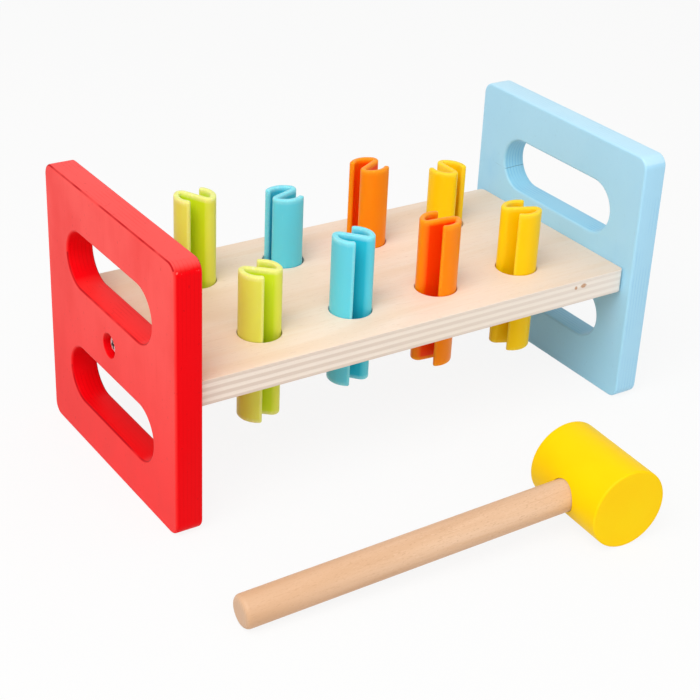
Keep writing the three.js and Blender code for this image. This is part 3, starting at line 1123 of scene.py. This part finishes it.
def stripOutline(inset):
    # straight bar, a tight fold at each end, and an arc from each fold round the outside
    radius, wall = peg["radius"], peg["wall"]
    half = wall / 2 - inset
    outer, inner = radius - inset, radius - wall + inset
    fold = peg["foldInside"] + wall / 2
    spine = radius - wall / 2 - fold
    foldX, foldY = -math.sqrt(spine ** 2 - fold ** 2), -fold
    foldTurn = math.atan2(foldY, foldX) + 2 * math.pi
    tip = math.pi + math.radians(peg["arcSpan"]) - inset / (radius - wall / 2)
    tipRound = max(peg["tipRound"] - inset, peg["leastTipRound"])

    def at(reach, turn):
        return (reach * math.cos(turn), reach * math.sin(turn))

    steps = peg["steps"]
    start = tip - tipRound / outer
    side = bendPoints(at(outer - tipRound, tip), at(outer, tip), at(outer, start), steps["tip"])
    side += arcPoints((0, 0), outer, start, foldTurn, steps["outer"])[1:]
    side += arcPoints((foldX, foldY), fold + half, foldTurn, math.pi / 2, steps["fold"])[1:]
    farFold, farTip = foldTurn + math.pi, tip + math.pi
    side += arcPoints((-foldX, -foldY), fold - half, 1.5 * math.pi, farFold, steps["inner"])
    end = farTip - tipRound / inner
    side += arcPoints((0, 0), inner, farFold, end, steps["back"])[1:]
    side += bendPoints(at(inner, end), at(inner, farTip), at(inner + tipRound, farTip), steps["tip"])[1:]
    return side + [(-x, -y) for x, y in side]


def stripFoldShading():
    # for each point of the outline, how far it lies in between the folds, where shade is painted
    steps, tipShade = peg["steps"], peg["tipShade"]
    side = [0.0] * (steps["tip"] + 1 + steps["outer"])
    side += [((k + 1) / steps["fold"]) ** peg["foldShade"] for k in range(steps["fold"])]
    side += [1.0] * (steps["inner"] + 1)
    side += [1.0 - (1.0 - tipShade) * (k + 1) / steps["back"] for k in range(steps["back"])]
    side += [tipShade - tipShade * (k + 1) / steps["tip"] for k in range(steps["tip"])]
    return side + side


def stripTip():
    # the points of the outline that belong to a free edge of the strip
    steps = peg["steps"]
    between = steps["outer"] + steps["fold"] + steps["inner"] + 1 + steps["back"]
    side = [1.0] * (steps["tip"] + 1) + [0.0] * between + [1.0] * steps["tip"]
    return side + side


def mouldPeg():
    bm = bmesh.new()
    wearMark = bm.verts.layers.float.new("wear")
    withinMark = bm.verts.layers.float.new("within")
    rim = arris(peg["rimRound"], peg["rimSteps"])
    start = [(inset, level - peg["length"] / 2, 1.0) for inset, level, _, _ in rim]
    start.append((0.0, peg["rimRound"] + peg["rimFade"] - peg["length"] / 2, 0.0))
    levels = start + [(inset, -level, wear) for inset, level, wear in reversed(start)]
    rings = []
    for inset, level, wear in levels:
        ring = [bm.verts.new(Vector((x, y, level)) * mm) for x, y in stripOutline(inset)]
        for corner, within, tip in zip(ring, stripFoldShading(), stripTip()):
            corner[wearMark] = max(wear, tip * peg["tipHighlight"])
            corner[withinMark] = within * (1 - wear)
        if rings:
            bridge(bm, rings[-1], ring)
        rings.append(ring)
    fillBetween(bm, rings[:1])
    fillBetween(bm, rings[-1:])
    return toMesh(bm, "pegMoulding")


def pegTree():
    tree, given, ids = newTree("pegStand", {
        "Moulding": "Object", "Place": "Vector", "Flip": "Float", "Turn": "Float", "Finish": "Material",
    })
    form = put(tree, "GeometryNodeObjectInfo", {"Object": given["Moulding"], "As Instance": True})
    spot = put(tree, "GeometryNodePoints", {"Count": 1, "Position": given["Place"]})
    turn = put(tree, "ShaderNodeCombineXYZ", {"X": given["Flip"], "Z": given["Turn"]})
    stood = put(tree, "GeometryNodeInstanceOnPoints", {
        "Points": spot.outputs[0], "Instance": form.outputs["Geometry"], "Rotation": turn.outputs[0],
    })
    endTree(tree, stood.outputs[0], given["Finish"])
    return tree, ids


def makePegs():
    moulding = bpy.data.objects.new("pegMoulding", mouldPeg())
    scene.collection.objects.link(moulding)
    tree, ids = pegTree()
    plastics = {colour: plasticFinish(colour) for colour in ("green", "blue", "orange", "yellow")}
    for node, (turn, flipped) in peg["stands"].items():
        colour, _, row = node.split("_")
        low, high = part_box(node)
        mesh = growMesh(node, tree, ids, {
            "Moulding": moulding,
            "Place": (low + high) / 2,
            "Flip": math.pi if flipped else 0.0,
            "Turn": math.radians(turn),
            "Finish": plastics[colour],
        })
        name = colour + "Peg" + row.capitalize()
        addPiece(name, mesh, colour + "_" + row + "_peg", node)
    bpy.data.objects.remove(moulding)


makePegs()
print("pegs stood in the board")


# screws, one through each panel

screw = {
    "coreRadius": 1.35,
    "crest": 0.55,
    "crestPower": 2.5,
    "pitch": 1.8,
    "length": 40.0,
    "plain": 5.4,  # no thread under the head
    "tip": 6.0,
    "tipShare": 0.06,  # of the radius
    "headRadius": 3.8,
    "headHeight": 2.7,
    "headBevel": 0.15,
    "neckRoom": 0.05,
    "neckReach": 0.4,
    "crown": 1.0,
    "crownSteps": 9,
    "crossLength": 5.0,
    "crossWidth": 1.4,
    "crossDepth": 1.6,
    "crossTaper": (0.55, 0.7),  # shares of the length and width at the bottom
    "crossTurn": 15.0,  # degrees
    "shadeFrom": 0.3,  # above the underside
    "shadeUnder": 0.15,  # below the dome
    "shadeReach": 0.75,  # share of the radius
    "headSides": 48,
    "shankSides": 32,
    "shankSteps": 180,
}


def screwHead():
    # pan head along +X, its underside on X = 0
    rim, tall, crown = (screw[key] * mm for key in ("headRadius", "headHeight", "crown"))
    bevel = screw["headBevel"] * mm
    neck = (screw["coreRadius"] + screw["neckRoom"]) * mm
    profile = [(-screw["neckReach"] * mm, neck, 0.0), (0.0, neck, 0.0)]
    profile += [(0.0, rim - bevel, 0.0), (bevel, rim, 0.0)]
    for k in range(screw["crownSteps"]):
        a = math.pi / 2 * k / screw["crownSteps"]
        profile.append((tall - crown + crown * math.sin(a), rim * math.cos(a), 0.0))
    mesh = turnedMesh("screwHead", profile, screw["headSides"], Matrix.Identity(4))
    deep, wide, long = (screw[key] * mm for key in ("crossDepth", "crossWidth", "crossLength"))
    shorter, narrower = screw["crossTaper"]
    cutters = []
    for arm in (0, 90):
        bm = bmesh.new()
        bmesh.ops.create_cube(bm, size=1.0, matrix=Matrix.Diagonal((2 * deep, long, wide, 1.0)))
        for corner in bm.verts:
            if corner.co.x < 0:  # the slot tapers towards its bottom
                corner.co.y *= shorter
                corner.co.z *= narrower
        turn = Matrix.Rotation(math.radians(arm + screw["crossTurn"]), 4, "X")
        bmesh.ops.transform(bm, matrix=Matrix.Translation((tall, 0, 0)) @ turn, verts=bm.verts)
        cutters.append(toMesh(bm, "crossArm"))
    mesh = cutBy(mesh, cutters)
    # faces sunk in the cross recess, where shade is painted
    hollow = mesh.attributes.new("hollow", "FLOAT", "FACE")
    for face in mesh.polygons:
        level, y, z = face.center
        out = min(math.hypot(y, z) / rim, 1.0)
        dome = tall - crown + crown * math.sqrt(1.0 - out ** 2)
        inside = screw["shadeFrom"] * mm < level < dome - screw["shadeUnder"] * mm
        sunk = inside and out < screw["shadeReach"]
        hollow.data[face.index].value = 1.0 if sunk else 0.0
    return mesh


def plainBar(tree, sides, steps, length):
    # a bar along Z with a radius of 1, its places, and their angles about Z
    bar = put(tree, "GeometryNodeMeshCylinder", {
        "Vertices": sides, "Side Segments": steps, "Radius": 1.0, "Depth": length,
    }, fill_type="NGON").outputs["Mesh"]
    where = axes(tree, put(tree, "GeometryNodeInputPosition").outputs[0])
    return bar, where, calc(tree, "ARCTAN2", where["Y"], where["X"])


def shapeBar(tree, bar, where, along, radius, offset=(0.0, 0.0, 0.0)):
    # lays the bar along X and gives each place its radius
    spread = put(tree, "ShaderNodeCombineXYZ", {
        "X": along,
        "Y": times(tree, where["X"], radius),
        "Z": times(tree, where["Y"], radius),
    }).outputs[0]
    values = {"Geometry": bar, "Position": spread, "Offset": offset}
    return put(tree, "GeometryNodeSetPosition", values).outputs[0]


def screwTree():
    tree, given, ids = newTree("woodScrew", {
        "Head": "Object", "Core": "Float", "Crest": "Float", "Pitch": "Float", "Length": "Float",
        "Tip": "Float", "Place": "Vector", "Turn": "Float", "Finish": "Material",
    })
    bar, where, angle = plainBar(tree, screw["shankSides"], screw["shankSteps"], given["Length"])
    along = calc(tree, "MULTIPLY_ADD", given["Length"], 0.5, where["Z"])  # 0 at the point
    turns = calc(tree, "DIVIDE", along, given["Pitch"])
    turns = calc(tree, "SUBTRACT", turns, calc(tree, "DIVIDE", angle, 2 * math.pi))
    ridge = times(tree, calc(tree, "PINGPONG", turns, 0.5), 2.0)
    ridge = calc(tree, "POWER", ridge, screw["crestPower"])
    threadEnd = calc(tree, "SUBTRACT", given["Length"], screw["plain"] * mm)
    ridge = times(tree, ridge, calc(tree, "LESS_THAN", along, threadEnd))
    radius = calc(tree, "MULTIPLY_ADD", ridge, given["Crest"], given["Core"])
    taper = put(tree, "ShaderNodeMapRange", {
        "Value": along, "From Max": given["Tip"], "To Min": screw["tipShare"],
    }).outputs[0]
    behind = calc(tree, "SUBTRACT", along, given["Length"])
    shank = shapeBar(tree, bar, where, behind, times(tree, radius, taper))
    head = put(tree, "GeometryNodeObjectInfo", {"Object": given["Head"], "As Instance": True})
    whole = put(tree, "GeometryNodeJoinGeometry")
    tree.links.new(shank, whole.inputs[0])
    tree.links.new(head.outputs["Geometry"], whole.inputs[0])
    turn = put(tree, "ShaderNodeCombineXYZ", {"Z": given["Turn"]})
    placed = put(tree, "GeometryNodeTransform", {
        "Geometry": whole.outputs[0], "Translation": given["Place"], "Rotation": turn.outputs[0],
    })
    endTree(tree, placed.outputs[0], given["Finish"])
    return tree, ids


def makeScrews():
    head = bpy.data.objects.new("screwHead", screwHead())
    scene.collection.objects.link(head)
    tree, ids = screwTree()
    for colour, side in (("red", -1), ("blue", 1)):
        node = colour + "_end_screw"
        low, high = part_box(node)
        middle = (low + high) / 2
        under = (low.x if side > 0 else high.x) + side * screw["length"] * mm
        mesh = growMesh(node, tree, ids, {
            "Head": head,
            "Core": screw["coreRadius"] * mm,
            "Crest": screw["crest"] * mm,
            "Pitch": screw["pitch"] * mm,
            "Length": screw["length"] * mm,
            "Tip": screw["tip"] * mm,
            "Place": Vector((under, middle.y, middle.z)),
            "Turn": 0.0 if side > 0 else math.pi,
            "Finish": steel,
        })
        addPiece(colour + "EndScrew", mesh, "bench", node)
    bpy.data.objects.remove(head)


makeScrews()
print("screws driven")


# fluted dowels between the board and the panels

dowel = {
    "radius": 2.98,
    "flutes": 16,
    "fluteDepth": 0.22,
    "flutePower": 3.0,
    "chamfer": 0.8,
    "sides": 128,
    "steps": 30,
}


def dowelTree():
    tree, given, ids = newTree("flutedDowel", {
        "Radius": "Float", "Flute": "Float", "Flutes": "Float", "Chamfer": "Float", "Length": "Float",
        "Place": "Vector", "Finish": "Material",
    })
    bar, where, angle = plainBar(tree, dowel["sides"], dowel["steps"], given["Length"])
    wave = calc(tree, "COSINE", times(tree, angle, given["Flutes"]))
    groove = calc(tree, "POWER", calc(tree, "MAXIMUM", wave, 0.0), dowel["flutePower"])
    radius = calc(tree, "SUBTRACT", given["Radius"], times(tree, groove, given["Flute"]))
    half = times(tree, given["Length"], 0.5)
    fromEnd = calc(tree, "SUBTRACT", half, calc(tree, "ABSOLUTE", where["Z"]))
    missing = calc(tree, "MAXIMUM", calc(tree, "SUBTRACT", given["Chamfer"], fromEnd), 0.0)
    radius = calc(tree, "SUBTRACT", radius, missing)
    endTree(tree, shapeBar(tree, bar, where, where["Z"], radius, given["Place"]), given["Finish"])
    return tree, ids


def makeDowels():
    tree, ids = dowelTree()
    wood = beechFinish("dowelBeech", Matrix.Identity(4), 1.0)
    for colour in ("red", "blue"):
        for row in ("front", "back"):
            node = colour + "_end_dowel_" + row
            low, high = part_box(node)
            mesh = growMesh(node, tree, ids, {
                "Radius": dowel["radius"] * mm,
                "Flute": dowel["fluteDepth"] * mm,
                "Flutes": float(dowel["flutes"]),
                "Chamfer": dowel["chamfer"] * mm,
                "Length": high.x - low.x,
                "Place": (low + high) / 2,
                "Finish": wood,
            })
            addPiece(colour + "EndDowel" + row.capitalize(), mesh, "bench", node)


makeDowels()
print("dowels set")


# mallet, lying on its head and the end of its handle

mallet = {
    "headRadius": 17.5,
    "headLength": 43.5,
    "headRound": 0.9,
    "headSides": 128,
    "faceRing": 0.6,  # widths of the flat rings that frame the end faces
    "handleRing": 0.5,
    "handleRadius": 6.9,
    "handleLength": 169.0,
    "handleRound": 2.4,
    "restRound": 1.6,  # how far from its end the handle touches the floor
    "tipChamfer": 0.8,
    "tipRing": 1.0,  # length of the straight ring beside the chamfer
    "handleSides": 96,
    "roundSteps": 7,
    "socketDepth": 24.0,
    "socketRoom": 0.25,
    "socketEndGap": 0.3,
    "socketPast": 5.0,  # how far the drill starts outside the head
    "turn": 176.7,  # degrees from +X, seen from above
}


def quarterRound(along, radius, bend, start, end):
    made = []
    steps = mallet["roundSteps"]
    for k in range(steps + 1):
        a = math.radians(start + (end - start) * k / steps)
        made.append((along + bend * math.sin(a), radius + bend * math.cos(a), math.sin(2 * abs(a))))
    return made


def makeMallet():
    headRadius, handleRadius = mallet["headRadius"], mallet["handleRadius"]
    socketFloor = headRadius - mallet["socketDepth"]
    start = socketFloor + mallet["socketEndGap"]
    reach = start + mallet["handleLength"]
    dip = math.asin((headRadius - handleRadius) / (reach - mallet["restRound"]))
    low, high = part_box("mallet_head")
    turn = Euler((0.0, dip, math.radians(mallet["turn"])))
    pose = Matrix.Translation((low + high) / 2) @ turn.to_matrix().to_4x4()
    scale = Matrix.Scale(mm, 4)

    end = mallet["headLength"] / 2
    bend = mallet["headRound"]
    flat, rim = end - bend, headRadius - bend
    profile = [(-end, rim - mallet["faceRing"], 0.0)]
    profile += quarterRound(-flat, rim, bend, -90, 0)
    profile += quarterRound(flat, rim, bend, 0, 90)
    profile += [(end, rim - mallet["faceRing"], 0.0)]
    sideways = Matrix.Rotation(math.pi / 2, 4, "Z")
    head = turnedMesh("malletHead", profile, mallet["headSides"], pose @ sideways @ scale)
    hole = handleRadius + mallet["socketRoom"]
    socket = [(socketFloor, hole, 0.0), (headRadius + mallet["socketPast"], hole, 0.0)]
    cutter = turnedMesh("socket", socket, mallet["handleSides"], pose @ scale)
    head = cutBy(head, [cutter])
    addPiece("malletHead", head, "mallet", "mallet_head", yellowFinish(pose))

    tip, bend = mallet["tipChamfer"], mallet["handleRound"]
    profile = [(start, handleRadius - tip, 0.0), (start + tip, handleRadius, 0.0)]
    profile += [(start + tip + mallet["tipRing"], handleRadius, 0.0)]
    profile += quarterRound(reach - bend, handleRadius - bend, bend, 0, 90)
    profile += [(reach, handleRadius - bend - mallet["handleRing"], 0.0)]
    handle = turnedMesh("malletHandle", profile, mallet["handleSides"], pose @ scale)
    wood = beechFinish("handleBeech", pose, reach * mm)
    addPiece("malletHandle", handle, "mallet", "mallet_handle", wood)


makeMallet()
print("mallet laid down")
